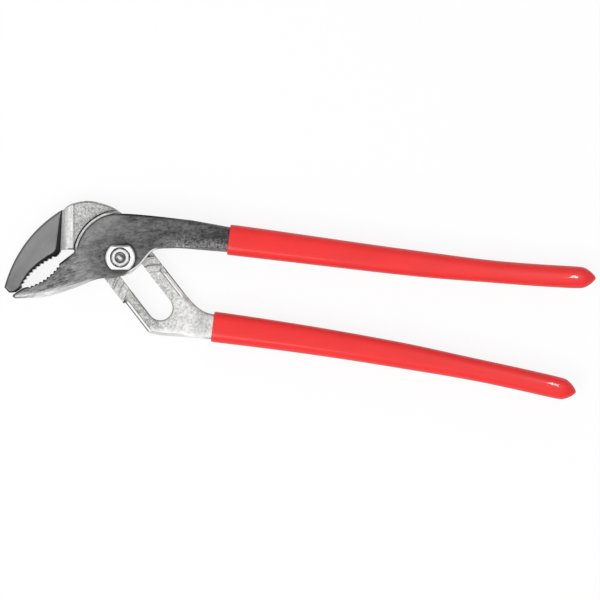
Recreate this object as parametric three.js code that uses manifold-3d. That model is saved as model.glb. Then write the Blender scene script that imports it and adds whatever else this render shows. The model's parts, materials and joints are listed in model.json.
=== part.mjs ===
// Water pump pliers with dipped grips, lying flat with the jaws towards -X and the nut up.
// Two forged arms cross at a keyed bolt. The bolt slides along a slot in the rear arm, and a
// curved tongue under the front arm drops into one of the grooves cut across that slot.
// Units are millimetres. The pivot is the Z axis, and Z = 0 is the outer face of the bolt head.
import * as THREE from "three";
import { mergeVertices } from "three/addons/utils/BufferGeometryUtils.js";
import Module from "manifold-3d";

const wasm = await Module();
wasm.setup();

const { Vector2, Vector3 } = THREE;
const { degToRad, lerp, smoothstep } = THREE.MathUtils;

// Thicknesses along the pivot
const HEAD_HEIGHT = 3.2;
const ARM_THICKNESS = 6.8;
const NUT_HEIGHT = 4.2;
const BOLT_PROUD = 0.3;
const RUN_GAP = 0.2; // between faces that slide or turn on each other

// Slot in the rear arm and the settings along it
const SLOT_WIDTH = 12.8;
const SLOT_ANGLE = degToRad(-52.1);
const SETTINGS = 7;
const PITCH = 5.25;

// Bolt and nut
const HEAD_BEARING = 3.1; // the head overlaps the slot by this much on each side
const HEAD_CHAMFER = 1;
const SHANK_DIAMETER = 9.8;
const SHANK_CHAMFER = 0.5;
const BORE_GAP = 0.15; // round the shank, in the front arm and in the nut
const NECK_LENGTH = 15.4;
const NECK_GAP = 0.2; // between the keyed neck and the slot
const DIMPLE_DIAMETER = 6;
const DIMPLE_DEPTH = 0.9;
const NUT_WALL_ROUND = 2.7;
const NUT_WALL_FLAT = 1.35;
const NUT_CHAMFER = 0.6;
const NUT_COUNTERSINK = 0.3; // round the bore, on the outer face

// Tongue and grooves, about the bolt
const TONGUE_RADIUS = 24.2; // outer wall of the tongue and edge of the front arm
const TONGUE_WIDTH = 2.4;
const TONGUE_HEIGHT = 1.7;
const TONGUE_FROM = degToRad(110);
const TONGUE_TO = degToRad(165);
const GROOVE_GAP = 0.35; // beside and below the tongue
const GROOVE_DRAFT = 0.4; // each groove wall leans out by this much
const LAST_LAND = 3.2; // land between the last groove and the recessed legs

// Rear arm beside the slot
const LEG_LEFT = 6.2;
const LEG_RIGHT = 8.2;
const PAD_LIP = 0.9; // the grooved pad stands out past the left leg
const LEG_CHAMFER = 1.7;
const PAD_CHAMFER = 0.9;

// Jaws
const SHOULDER_GAP = 2.8; // from the tongue's edge to the full thickness of the lower jaw
const SHOULDER_FROM = degToRad(140);
const SHOULDER_TO = degToRad(240);
const JAW_CHAMFER = 0.9;
const THROAT_ANGLE = degToRad(173.6); // where the lower jaw's throat meets the round edge
const JAW_FILLET = 3.6; // at the foot of the upper jaw's step
const THROAT_SLOPE = 2.6; // width of the slope round the upper jaw's working edge, at the throat
const BELLY_ROUND = 3.4; // rounding of the lower jaw's outer edge, at its middle
const TOOTH_DEPTH = 1;
const TOOTH_LAND = 0.12; // flat share of each tooth's pitch
const UPPER_TEETH = 10;
const LOWER_TEETH = 9;
const UPPER_TOOTHED = [0.02, 0.95]; // shares of the working edge where the teeth start and end
const LOWER_TOOTHED = [0.1, 0.97];
const BELLY_ROUNDED = [0.56, 0.99]; // shares of the lower edge, from the neck to the nose

// Outline of the jaws, from the place where the tongue's circle meets the X axis. A working edge has
// its two ends and, between them, the point that pulls its curve.
const UPPER_BITE = [[-27.4, -15.8], [-23.1, -5.9], [-8.7, 0.8]];
const LOWER_BITE = [[-26.4, -15.8], [-13.7, -13], [-7.1, -2.9]];
const UPPER_NOSE = [[-35.8, -15.4], [-33.2, -18.2], [-30.3, -17.9]];
const LOWER_NOSE = [[-30.1, -21.1], [-31.7, -20.1], [-31.1, -19]];
const JAW_BACK = [-28.6, 10.8]; // pulls the crescent's back
const STEP_PEAK = [-5.8, 24.8];
const STEP_FOOT = [-6.9, 3.2];
const JAW_UNDER = [[0.2, -15.6], [-14.5, -20.1]];
const PAD_BACK = [[21.5, 25.2], [16, 27.6], [7.2, 29.4], [-2, 27.6], [-6.2, 24]];
const PAD_ROOT = [[-11.8, 17], [-11.8, 4.2]]; // inside the upper jaw
const PAD_CORNER = [-0.6, 4.2];

// Outline of the front arm, from the pivot
const EYE_TOP = [[4.1, 22.6], [20, 21.2]];
const EYE_UNDER = [[26, 4.8], [16.8, 3.5], [8.6, -5.1], [-1.8, -10.2], [-12, -11.1]];

// Outline of the rear arm beside the slot: places along it, from its start or from its foot
const PAD_LEFT_START = 2;
const PAD_RIGHT_START = -17;
const HEEL_START = 0.3;
const CROOK_START = -5.4; // the bend from the right leg into the handle
const CROOK_PULL = 0.6;
const HEEL = [-3.5, -9.1];
const ROOT_TOP = [16.2, 4.6];

// Handles and grips
const NECK_START = 36; // from the pivot to the end of the front arm's plate
const NECK_TOP = 19.3;
const NECK_BOTTOM = 4.5;
const ROOT_START = 13.4; // from the foot of the slot to the end of the rear arm's plate
const ROOT_BOTTOM = 10.3;
const ROOT_WIDTH = 17.4;
const UPPER_MOUTH = [55.7, 9.3]; // the upper grip's mouth, from the pivot
const UPPER_REACH = 189.9; // the upper grip's length along X, and its fall along Y
const UPPER_FALL = 19.9;
const UPPER_BEND = [[0.33, 0.382], [0.655, 0.894]]; // shares of reach and fall that shape the curve
const LOWER_MOUTH = [23.2, -4.6]; // the lower grip's mouth, from the foot of the slot
const LOWER_REACH = 187.9;
const LOWER_FALL = 33.9;
const LOWER_BEND = [[0.32, 0.221], [0.668, 0.552]];
const GRIP_MOUTH_WIDTH = 16;
const GRIP_WAIST_WIDTH = 13.3;
const GRIP_TAIL_WIDTH = 11.5;
const WAIST_SHARE = 0.54; // shares of the grip's length
const TAIL_SHARE = 0.76;
const GRIP_MOUTH_HEIGHT = 12;
const GRIP_TAIL_HEIGHT = 10.4;
const GRIP_CORNER = 4.6;
const GRIP_LIP = 0.7; // rounding of the grip's mouth
const GRIP_WALL = 1.2;
const GRIP_FIT = 0.3; // between the grip and the steel inside it
const GRIP_END = 9; // solid end of the grip, past the steel
const TIP_LENGTH = 7.6;
const TIP_POWER = 1.4;
const TIP_BLUNT = 0.3; // the last ring stops this share of a step short of the tip
const NECK_LAP = 3; // length over which a handle's neck wraps the plate that it grows from
const NECK_SKIN = 0.05; // the neck stands this far over that plate
const NECK_SINK = 0.8; // the front arm's plate ends this far inside the neck
const ROOT_SINK = 2.2; // and the rear arm's
const ROOT_LEAN = 0.1; // the rear arm's lower edge rises by this much there
const FRONT_ROOT_CORNER = 1.2;

// Mesh fineness
const CURVE_STEPS = 6;
const CRESCENT_STEPS = 14;
const ROUND_STEPS = 72;
const CORNER_STEPS = 4;
const NECK_RINGS = 7;
const LIP_RINGS = 2;
const GRIP_RINGS = 14;
const TIP_RINGS = 6;
const RIM_STATIONS = 8;
const ROUND_FACETS = 4;
const WELD = 1e-4;
const CUT = 5; // cutters run this far past what they cut

// Levels along the pivot
const REAR_LOW = HEAD_HEIGHT + RUN_GAP;
const REAR_HIGH = REAR_LOW + ARM_THICKNESS;
const FRONT_LOW = REAR_HIGH + RUN_GAP;
const FRONT_HIGH = FRONT_LOW + ARM_THICKNESS;
const NUT_LOW = FRONT_HIGH + RUN_GAP;
const NUT_HIGH = NUT_LOW + NUT_HEIGHT;
const BOLT_TOP = NUT_HIGH + BOLT_PROUD;
const MIDDLE = (REAR_LOW + FRONT_HIGH) / 2;
const GROOVE_FLOOR = FRONT_LOW - TONGUE_HEIGHT - GROOVE_GAP;

// Places along and across the slot, with the pivot at its first setting
const TRAVEL = (SETTINGS - 1) * PITCH;
const SLOT_REACH = NECK_LENGTH / 2 + NECK_GAP;
const SLOT_END = TRAVEL + SLOT_REACH;
const ALONG = new Vector2(Math.cos(SLOT_ANGLE), Math.sin(SLOT_ANGLE));
const ACROSS = new Vector2(-ALONG.y, ALONG.x);
const inSlot = (along, across) => ALONG.clone().multiplyScalar(along).addScaledVector(ACROSS, across);
const LEFT_EDGE = -SLOT_WIDTH / 2 - LEG_LEFT;
const RIGHT_EDGE = SLOT_WIDTH / 2 + LEG_RIGHT;
const PAD_RADIUS = TONGUE_RADIUS - TONGUE_WIDTH - GROOVE_GAP - GROOVE_DRAFT - LAST_LAND;

// Jaw points are given from the place where the tongue's circle meets the X axis
const fromThroat = ([x, y]) => new Vector2(x - TONGUE_RADIUS, y);
const fromPivot = ([x, y]) => new Vector2(x, y);
const polar = (radius, angle) => new Vector2(Math.cos(angle), Math.sin(angle)).multiplyScalar(radius);

// A closed geometry as a solid that can be cut and joined
function solid(geometry) {
  geometry.deleteAttribute("normal");
  geometry.deleteAttribute("uv");
  const merged = mergeVertices(geometry, WELD);
  const index = merged.index.array;
  const triangles = [];
  for (let i = 0; i < index.length; i += 3) {
    const [a, b, c] = index.subarray(i, i + 3);
    if (a !== b && b !== c && c !== a) triangles.push(a, b, c);
  }
  const mesh = new wasm.Mesh({
    numProp: 3,
    vertProperties: merged.attributes.position.array,
    triVerts: new Uint32Array(triangles),
  });
  return new wasm.Manifold(mesh);
}

// An outline raised from one level to another, with both rims chamfered
function plate(shape, low, high, chamfer = 0, steps = CURVE_STEPS) {
  const geometry = new THREE.ExtrudeGeometry(shape, {
    depth: high - low - 2 * chamfer,
    bevelEnabled: chamfer > 0,
    bevelThickness: chamfer,
    bevelSize: chamfer,
    bevelOffset: -chamfer,
    bevelSegments: 1,
    curveSegments: steps,
  });
  geometry.translate(0, 0, low + chamfer);
  return solid(geometry);
}

// A profile of (radius, height) points turned about the Z axis
function turned(profile) {
  const points = profile.map(([radius, height]) => new Vector2(radius, height));
  return solid(new THREE.LatheGeometry(points, ROUND_STEPS).rotateX(Math.PI / 2));
}

// A shape whose straight runs and curves go through the given points
function outline(start, ...runs) {
  const shape = new THREE.Shape();
  shape.moveTo(start.x, start.y);
  for (const run of runs) run(shape);
  shape.closePath();
  return shape;
}

const lineTo = (...points) => (shape) => points.forEach((p) => shape.lineTo(p.x, p.y));
const splineTo = (...points) => (shape) => shape.splineThru(points);
const curveTo = (pull, end) => (shape) => shape.quadraticCurveTo(pull.x, pull.y, end.x, end.y);
const arcTo = (centre, radius, from, to, clockwise) => (shape) =>
  shape.absarc(centre.x, centre.y, radius, from, to, clockwise);

// A slot or key outline with round ends, from one place to another along the slot
function stadium(from, to, width) {
  const half = width / 2;
  const first = inSlot(from + half, 0);
  const last = inSlot(to - half, 0);
  const right = SLOT_ANGLE + Math.PI / 2;
  const left = SLOT_ANGLE - Math.PI / 2;
  return outline(
    inSlot(from + half, half),
    arcTo(first, half, right, right + Math.PI, false),
    arcTo(last, half, left, left + Math.PI, false),
  );
}

// Notches along a jaw's working edge. The curve runs along the tooth tips, and side is the
// direction from the edge into the steel: 1 to the left of the curve and -1 to its right.
function cutTeeth(jaw, curve, count, [from, to], side) {
  const pitch = (to - from) / count;
  for (let i = 0; i < count; i += 1) {
    const start = from + pitch * (i + TOOTH_LAND);
    const end = from + pitch * (i + 1);
    const middle = (start + end) / 2;
    const inward = curve.getTangentAt(middle).rotateAround(new Vector2(), side * Math.PI / 2);
    const root = curve.getPointAt(middle).addScaledVector(inward, TOOTH_DEPTH);
    const mouth = [start, end].map((t) => curve.getPointAt(t));
    const outside = mouth.map((p) => p.clone().addScaledVector(inward, -TOOTH_DEPTH));
    const notch = outline(root, lineTo(mouth[1], outside[1], outside[0], mouth[0]));
    jaw = jaw.subtract(plate(notch, REAR_LOW - CUT, FRONT_HIGH + CUT));
  }
  return jaw;
}

// The lower jaw's working edge, and the upper jaw's
const lowerEdge = new THREE.QuadraticBezierCurve(...LOWER_BITE.map(fromThroat));
const upperEdge = new THREE.QuadraticBezierCurve(...UPPER_BITE.map(fromThroat));

// Each grip's centre line starts at its mouth and curves down to its tip
function gripLine(mouth, reach, fall, bend) {
  const points = [...bend, [1, 1]].map(([along, down]) =>
    new Vector2(mouth.x + along * reach, mouth.y - down * fall));
  return new THREE.CubicBezierCurve(mouth, ...points);
}

const slotFoot = inSlot(SLOT_END, 0);
const fromFoot = ([x, y]) => slotFoot.clone().add(new Vector2(x, y));
const upperLine = gripLine(fromPivot(UPPER_MOUTH), UPPER_REACH, UPPER_FALL, UPPER_BEND);
const lowerLine = gripLine(fromFoot(LOWER_MOUTH), LOWER_REACH, LOWER_FALL, LOWER_BEND);

// Width of a grip against its share of the length: an even taper, then a slimmer tail
function widthAt(share) {
  const taper = lerp(GRIP_MOUTH_WIDTH, GRIP_WAIST_WIDTH, share / WAIST_SHARE);
  return lerp(taper, GRIP_TAIL_WIDTH, smoothstep(share, WAIST_SHARE, TAIL_SHARE));
}

// One ring across a handle: a rounded rectangle standing square to the centre line
function ring(centre, normal, halfWidth, low, high, corner) {
  const radius = Math.min(corner, halfWidth, (high - low) / 2);
  const middle = (low + high) / 2;
  const corners = [[1, 1], [-1, 1], [-1, -1], [1, -1]];
  return corners.flatMap(([side, up], quarter) =>
    Array.from({ length: CORNER_STEPS + 1 }, (_, step) => {
      const angle = (quarter + step / CORNER_STEPS) * Math.PI / 2;
      const across = side * (halfWidth - radius) + radius * Math.cos(angle);
      const height = middle + up * ((high - low) / 2 - radius) + radius * Math.sin(angle);
      return new Vector3(centre.x + normal.x * across, centre.y + normal.y * across, height);
    }));
}

// A solid skinned over rings that have equal numbers of points
function loft(rings) {
  const count = rings[0].length;
  const index = [];
  for (let k = 0; k + 1 < rings.length; k += 1) {
    for (let j = 0; j < count; j += 1) {
      const here = k * count + j;
      const beside = k * count + (j + 1) % count;
      index.push(here, beside, here + count, beside, beside + count, here + count);
    }
  }
  const last = (rings.length - 1) * count;
  for (let j = 1; j + 1 < count; j += 1) {
    index.push(0, j + 1, j, last, last + j, last + j + 1);
  }
  const geometry = new THREE.BufferGeometry().setFromPoints(rings.flat());
  geometry.setIndex(index);
  return solid(geometry);
}

// A cutter that takes a rim off a plate, along stations that have the steel on their left. Each has
// its place, its direction into the steel, and how wide and deep the rim is there. The section gives
// the cut's outline against the steel in shares of that width and depth, from its foot to its top.
function rimCut(stations, section, level, up) {
  const path = up > 0 ? stations : [...stations].reverse();
  return loft(path.map(({ place, inward, size }) =>
    [[-CUT / size, CUT / size], ...section(CUT / size)].map(([across, height]) => {
      const p = place.clone().addScaledVector(inward, across * size);
      return new Vector3(p.x, p.y, level + up * height * size);
    })));
}

// A flat slope, and a quarter round
const slope = (far) => [[-far, -1 - far], [1 + far, far]];
const round = (far) => {
  const arc = Array.from({ length: ROUND_FACETS + 1 }, (_, k) => {
    const angle = (k / ROUND_FACETS) * Math.PI / 2;
    return [1 - Math.cos(angle), Math.sin(angle) - 1];
  });
  return [[-far, -1], ...arc, [1, far]];
};

// The centre line's place and left-hand normal at a share of its length
function station(line, share) {
  const tangent = line.getTangentAt(share);
  return { centre: line.getPointAt(share), normal: new Vector2(-tangent.y, tangent.x) };
}

// A ring of the grip's section, shrunk on all sides by an inset
function gripRing(line, share, inset, swell = 1) {
  const { centre, normal } = station(line, share);
  const halfWidth = (widthAt(share) / 2) * swell - inset;
  const halfHeight = (lerp(GRIP_MOUTH_HEIGHT, GRIP_TAIL_HEIGHT, share) / 2) * swell - inset;
  const corner = GRIP_CORNER * swell - inset;
  return ring(centre, normal, halfWidth, MIDDLE - halfHeight, MIDDLE + halfHeight, corner);
}

// The steel inside a grip follows the grip's section, and so does the grip's bore
function core(line, inset, endGap) {
  const end = 1 - (GRIP_END + endGap) / line.getLength();
  return Array.from({ length: GRIP_RINGS + 1 }, (_, k) => gripRing(line, end * k / GRIP_RINGS, inset));
}

// A handle: its neck grows out of the plate's end and turns into the steel inside the grip.
// The neck's lower edge runs straight, and its width falls with the power that flare gives.
function handle(line, root) {
  const inset = GRIP_WALL + GRIP_FIT;
  const { centre, normal } = station(line, 0);
  const mouthHalf = GRIP_MOUTH_WIDTH / 2 - inset;
  const mouthHigh = GRIP_MOUTH_HEIGHT / 2 - inset;
  const mouthEdge = centre.clone().addScaledVector(normal, -mouthHalf);
  const neckRing = (share, shift) => {
    const ease = smoothstep(share, 0, 1);
    const half = lerp(mouthHalf, root.halfWidth, (1 - share) ** root.flare);
    const middle = root.edge.clone().lerp(mouthEdge, share).addScaledVector(normal, half);
    middle.add(new Vector2(-normal.y, normal.x).multiplyScalar(shift));
    return ring(
      middle, normal, half,
      lerp(root.low, MIDDLE - mouthHigh, ease),
      lerp(root.high, MIDDLE + mouthHigh, ease),
      lerp(root.corner, GRIP_CORNER - inset, share));
  };
  const neck = Array.from({ length: NECK_RINGS }, (_, k) => neckRing(k / NECK_RINGS, 0));
  return loft([neckRing(0, NECK_LAP), ...neck, ...core(line, inset, GRIP_FIT)]);
}

// A dipped grip: a closed sleeve with a rounded mouth and a blunt pointed tip
function grip(line) {
  const length = line.getLength();
  const tipStart = 1 - TIP_LENGTH / length;
  const lip = Array.from({ length: LIP_RINGS }, (_, k) => {
    const angle = (k / LIP_RINGS) * Math.PI / 2;
    const along = GRIP_LIP * (1 - Math.cos(angle));
    return gripRing(line, along / length, GRIP_LIP * (1 - Math.sin(angle)));
  });
  const body = Array.from({ length: GRIP_RINGS + 1 }, (_, k) =>
    gripRing(line, lerp(GRIP_LIP / length, tipStart, k / GRIP_RINGS), 0));
  const tip = Array.from({ length: TIP_RINGS }, (_, k) => {
    const reach = Math.sin((k + 1) / (TIP_RINGS + TIP_BLUNT) * Math.PI / 2);
    const swell = (1 - reach ** TIP_POWER) ** (1 / TIP_POWER);
    return gripRing(line, lerp(tipStart, 1, reach), 0, swell);
  });
  const bore = core(line, GRIP_WALL, 0);
  const { normal } = station(line, 0);
  const back = new Vector3(-normal.y, normal.x, 0);
  const mouth = bore[0].map((p) => p.clone().addScaledVector(back, CUT));
  return loft([...lip, ...body, ...tip]).subtract(loft([mouth, ...bore]));
}

// Front arm: upper handle, pivot eye and lower jaw in one forging
function frontArm() {
  const root = {
    edge: new Vector2(NECK_START - NECK_SINK, NECK_BOTTOM - NECK_SKIN),
    halfWidth: (NECK_TOP - NECK_BOTTOM) / 2 + NECK_SKIN,
    flare: 1,
    low: FRONT_LOW - NECK_SKIN,
    high: FRONT_HIGH + NECK_SKIN,
    corner: FRONT_ROOT_CORNER,
  };
  const neckFoot = new Vector2(NECK_START, NECK_BOTTOM);
  const [chin, ...nose] = LOWER_NOSE.map(fromThroat);
  const belly = [...EYE_UNDER.map(fromPivot), ...JAW_UNDER.map(fromThroat), chin];
  const shape = outline(
    chin,
    lineTo(...nose, lowerEdge.v0),
    curveTo(lowerEdge.v1, lowerEdge.v2),
    lineTo(polar(TONGUE_RADIUS, THROAT_ANGLE)),
    arcTo(new Vector2(), TONGUE_RADIUS, THROAT_ANGLE, TONGUE_FROM, true),
    splineTo(...EYE_TOP.map(fromPivot), new Vector2(NECK_START, NECK_TOP)),
    lineTo(neckFoot),
    splineTo(...belly),
  );
  let arm = plate(shape, REAR_LOW, FRONT_HIGH, JAW_CHAMFER);

  // The lower jaw's outer edge is rounded, most at its middle
  const bellyCurve = new THREE.SplineCurve([neckFoot, ...belly]);
  const stations = Array.from({ length: RIM_STATIONS + 1 }, (_, k) => {
    const share = k / RIM_STATIONS;
    const at = lerp(BELLY_ROUNDED[1], BELLY_ROUNDED[0], share);
    const inward = bellyCurve.getTangentAt(at).rotateAround(new Vector2(), -Math.PI / 2);
    const size = lerp(JAW_CHAMFER, BELLY_ROUND, Math.sin(share * Math.PI));
    return { place: bellyCurve.getPointAt(at), inward, size };
  });
  arm = arm.subtract(rimCut(stations, round, FRONT_HIGH, 1));
  arm = arm.subtract(rimCut(stations, round, REAR_LOW, -1));

  // Behind the eye and the handle only half the thickness is left, up to the jaw's shoulder
  const shoulder = TONGUE_RADIUS + SHOULDER_GAP;
  const reach = NECK_START + shoulder;
  const relief = outline(
    polar(shoulder, SHOULDER_FROM),
    arcTo(new Vector2(), shoulder, SHOULDER_FROM, SHOULDER_TO, false),
    lineTo(new Vector2(0, -reach), new Vector2(reach, -reach), new Vector2(reach, reach)),
    lineTo(new Vector2(0, reach)),
  );
  arm = arm.subtract(plate(relief, REAR_LOW - CUT, FRONT_LOW));
  arm = cutTeeth(arm, lowerEdge, LOWER_TEETH, LOWER_TOOTHED, -1);

  // Tongue on the inner face, along the arm's round edge
  const tongue = outline(
    polar(TONGUE_RADIUS, TONGUE_FROM),
    arcTo(new Vector2(), TONGUE_RADIUS, TONGUE_FROM, TONGUE_TO, false),
    arcTo(new Vector2(), TONGUE_RADIUS - TONGUE_WIDTH, TONGUE_TO, TONGUE_FROM, true),
  );
  arm = arm.add(plate(tongue, FRONT_LOW - TONGUE_HEIGHT, FRONT_LOW + JAW_CHAMFER));
  arm = arm.add(handle(upperLine, root));
  const bore = SHANK_DIAMETER / 2 + BORE_GAP;
  return arm.subtract(turned([[0, 0], [bore, 0], [bore, BOLT_TOP], [0, BOLT_TOP]]));
}

// Upper jaw: a crescent as thick as both arms, with a fillet at the foot of its step
function upperJaw() {
  const corner = fromThroat(STEP_FOOT);
  const peak = fromThroat(STEP_PEAK);
  const [brow, ...nose] = UPPER_NOSE.map(fromThroat);
  const shape = outline(
    peak,
    curveTo(fromThroat(JAW_BACK), brow),
    lineTo(...nose, upperEdge.v0),
    curveTo(upperEdge.v1, upperEdge.v2),
    lineTo(corner, peak),
  );
  let jaw = plate(shape, REAR_LOW, FRONT_HIGH, JAW_CHAMFER, CRESCENT_STEPS);

  // A slope along the working edge, across the throat's corner and up the step
  const working = Array.from({ length: RIM_STATIONS + 1 }, (_, k) => {
    const share = k / RIM_STATIONS;
    const inward = upperEdge.getTangentAt(share).rotateAround(new Vector2(), Math.PI / 2);
    return { place: upperEdge.getPointAt(share), inward, size: lerp(JAW_CHAMFER, THROAT_SLOPE, share) };
  });
  const straight = (from, to, lastSize) => {
    const inward = to.clone().sub(from).normalize().rotateAround(new Vector2(), Math.PI / 2);
    return [{ place: from, inward, size: THROAT_SLOPE }, { place: to, inward, size: lastSize }];
  };
  const throat = straight(upperEdge.v2, corner, THROAT_SLOPE);
  for (const stations of [working, throat, straight(corner, peak, JAW_CHAMFER)]) {
    jaw = jaw.subtract(rimCut(stations, slope, FRONT_HIGH, 1));
  }
  jaw = cutTeeth(jaw, upperEdge, UPPER_TEETH, UPPER_TOOTHED, 1);
  const profile = outline(
    new Vector2(-JAW_CHAMFER, 0),
    lineTo(new Vector2(JAW_FILLET, 0)),
    arcTo(new Vector2(JAW_FILLET, JAW_FILLET), JAW_FILLET, -Math.PI / 2, -Math.PI, true),
    lineTo(new Vector2(-JAW_CHAMFER, JAW_FILLET)),
  );
  const step = peak.clone().sub(corner);
  const length = step.length() - 2 * JAW_CHAMFER;
  const fillet = new THREE.ExtrudeGeometry(
    profile, { depth: length, bevelEnabled: false, curveSegments: CURVE_STEPS });
  fillet.rotateX(Math.PI / 2).translate(0, length + JAW_CHAMFER, REAR_HIGH - RUN_GAP);
  fillet.rotateZ(step.angle() - Math.PI / 2).translate(corner.x, corner.y, 0);
  return jaw.add(solid(fillet));
}

// Rear arm: upper jaw, grooved pad, slotted legs and lower handle in one forging
function rearArm() {
  const lastBolt = inSlot(TRAVEL, 0);
  const padLeft = LEFT_EDGE - PAD_LIP;
  const pad = outline(
    fromThroat(PAD_CORNER),
    lineTo(
      inSlot(PAD_LEFT_START, padLeft), inSlot(TRAVEL, padLeft), inSlot(TRAVEL, RIGHT_EDGE),
      inSlot(PAD_RIGHT_START, RIGHT_EDGE)),
    splineTo(...PAD_BACK.map(fromThroat)),
    lineTo(...PAD_ROOT.map(fromThroat)),
  );
  const step = turned([[0, 0], [PAD_RADIUS, 0], [PAD_RADIUS, FRONT_HIGH], [0, FRONT_HIGH]]);

  // The legs and the root of the handle lie as deep as the groove floors
  const root = {
    edge: fromFoot([ROOT_START - ROOT_SINK, ROOT_LEAN - ROOT_BOTTOM - NECK_SKIN]),
    halfWidth: ROOT_WIDTH / 2 + NECK_SKIN,
    flare: 2,
    low: REAR_LOW - NECK_SKIN,
    high: GROOVE_FLOOR + NECK_SKIN,
    corner: LEG_CHAMFER,
  };
  const legs = outline(
    inSlot(0, LEFT_EDGE),
    lineTo(
      inSlot(SLOT_END + HEEL_START, LEFT_EDGE), fromFoot(HEEL), fromFoot([ROOT_START, -ROOT_BOTTOM]),
      fromFoot(ROOT_TOP)),
    curveTo(inSlot(SLOT_END + CROOK_PULL, RIGHT_EDGE), inSlot(SLOT_END + CROOK_START, RIGHT_EDGE)),
    lineTo(inSlot(0, RIGHT_EDGE)),
  );
  let arm = plate(pad, REAR_LOW, REAR_HIGH, PAD_CHAMFER);
  arm = arm.subtract(step.translate([lastBolt.x, lastBolt.y, 0]));
  arm = arm.add(plate(legs, REAR_LOW, GROOVE_FLOOR, LEG_CHAMFER));

  // One groove for each setting of the bolt
  const inner = TONGUE_RADIUS - TONGUE_WIDTH - GROOVE_GAP;
  const outer = TONGUE_RADIUS + GROOVE_GAP;
  const lean = GROOVE_DRAFT * (1 + CUT / (REAR_HIGH - GROOVE_FLOOR));
  const groove = turned([
    [inner, GROOVE_FLOOR], [outer, GROOVE_FLOOR],
    [outer + lean, REAR_HIGH + CUT], [inner - lean, REAR_HIGH + CUT], [inner, GROOVE_FLOOR],
  ]);
  for (let i = 0; i < SETTINGS; i += 1) {
    const bolt = inSlot(i * PITCH, 0);
    arm = arm.subtract(groove.translate([bolt.x, bolt.y, 0]));
  }
  arm = arm.add(handle(lowerLine, root));
  arm = arm.subtract(plate(stadium(-SLOT_REACH, SLOT_END, SLOT_WIDTH), 0, FRONT_HIGH));
  return arm.add(upperJaw());
}

// Bolt: round head, keyed neck in the slot, round shank and a staked end
function pivotBolt() {
  const head = SLOT_WIDTH / 2 + HEAD_BEARING;
  const shank = SHANK_DIAMETER / 2;
  const dimple = DIMPLE_DIAMETER / 2;
  const body = turned([
    [0, 0], [head - HEAD_CHAMFER, 0], [head, HEAD_CHAMFER], [head, HEAD_HEIGHT], [shank, HEAD_HEIGHT],
    [shank, BOLT_TOP - SHANK_CHAMFER], [shank - SHANK_CHAMFER, BOLT_TOP], [dimple, BOLT_TOP],
    [dimple - DIMPLE_DEPTH, BOLT_TOP - DIMPLE_DEPTH], [0, BOLT_TOP - DIMPLE_DEPTH],
  ]);
  const half = NECK_LENGTH / 2;
  const key = stadium(-half, half, SLOT_WIDTH - 2 * NECK_GAP);
  const neck = plate(key, HEAD_HEIGHT - HEAD_CHAMFER, REAR_HIGH);
  return body.add(neck);
}

// Nut: round with two flats, chamfered, bored to pass the shank
function pivotNut() {
  const radius = SHANK_DIAMETER / 2 + NUT_WALL_ROUND;
  const flat = Math.asin((SHANK_DIAMETER / 2 + NUT_WALL_FLAT) / radius);
  const shape = outline(
    polar(radius, -flat),
    arcTo(new Vector2(), radius, -flat, flat, false),
    arcTo(new Vector2(), radius, Math.PI - flat, Math.PI + flat, false),
  );
  const bore = SHANK_DIAMETER / 2 + BORE_GAP;
  const sink = NUT_HIGH - NUT_COUNTERSINK;
  const mouth = bore + NUT_COUNTERSINK + CUT;
  return plate(shape, NUT_LOW, NUT_HIGH, NUT_CHAMFER)
    .subtract(turned([[0, 0], [bore, 0], [bore, sink], [mouth, NUT_HIGH + CUT], [0, NUT_HIGH + CUT]]));
}

// A finished solid as a named mesh
function piece(name, shape, material) {
  const { vertProperties, triVerts } = shape.getMesh();
  const geometry = new THREE.BufferGeometry();
  geometry.setAttribute("position", new THREE.BufferAttribute(vertProperties, 3));
  geometry.setIndex(new THREE.BufferAttribute(triVerts, 1));
  geometry.computeVertexNormals();
  const mesh = new THREE.Mesh(geometry, material);
  mesh.name = name;
  return mesh;
}

const darkSteel = new THREE.MeshStandardMaterial({ color: 0x68686a, roughness: 0.42, metalness: 0.85 });
const brightForging = new THREE.MeshStandardMaterial({ color: 0xc9c8c5, roughness: 0.55, metalness: 0.75 });
const brightPlating = new THREE.MeshStandardMaterial({ color: 0xe6e6e4, roughness: 0.22, metalness: 0.95 });
const redVinyl = new THREE.MeshStandardMaterial({ color: 0xee3a3a, roughness: 0.32, metalness: 0 });

const pliers = new THREE.Group();
pliers.add(
  piece("rear_arm", rearArm(), brightForging),
  piece("lower_grip", grip(lowerLine), redVinyl),
  piece("pivot_bolt", pivotBolt(), brightPlating),
  piece("pivot_nut", pivotNut(), brightPlating),
  piece("front_arm", frontArm(), darkSteel),
  piece("upper_grip", grip(upperLine), redVinyl),
);

export default pliers;
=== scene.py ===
"""Water pump pliers: worn forgings, plated pivot, dipped grips and a plain studio stage."""

import json
import math

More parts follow.
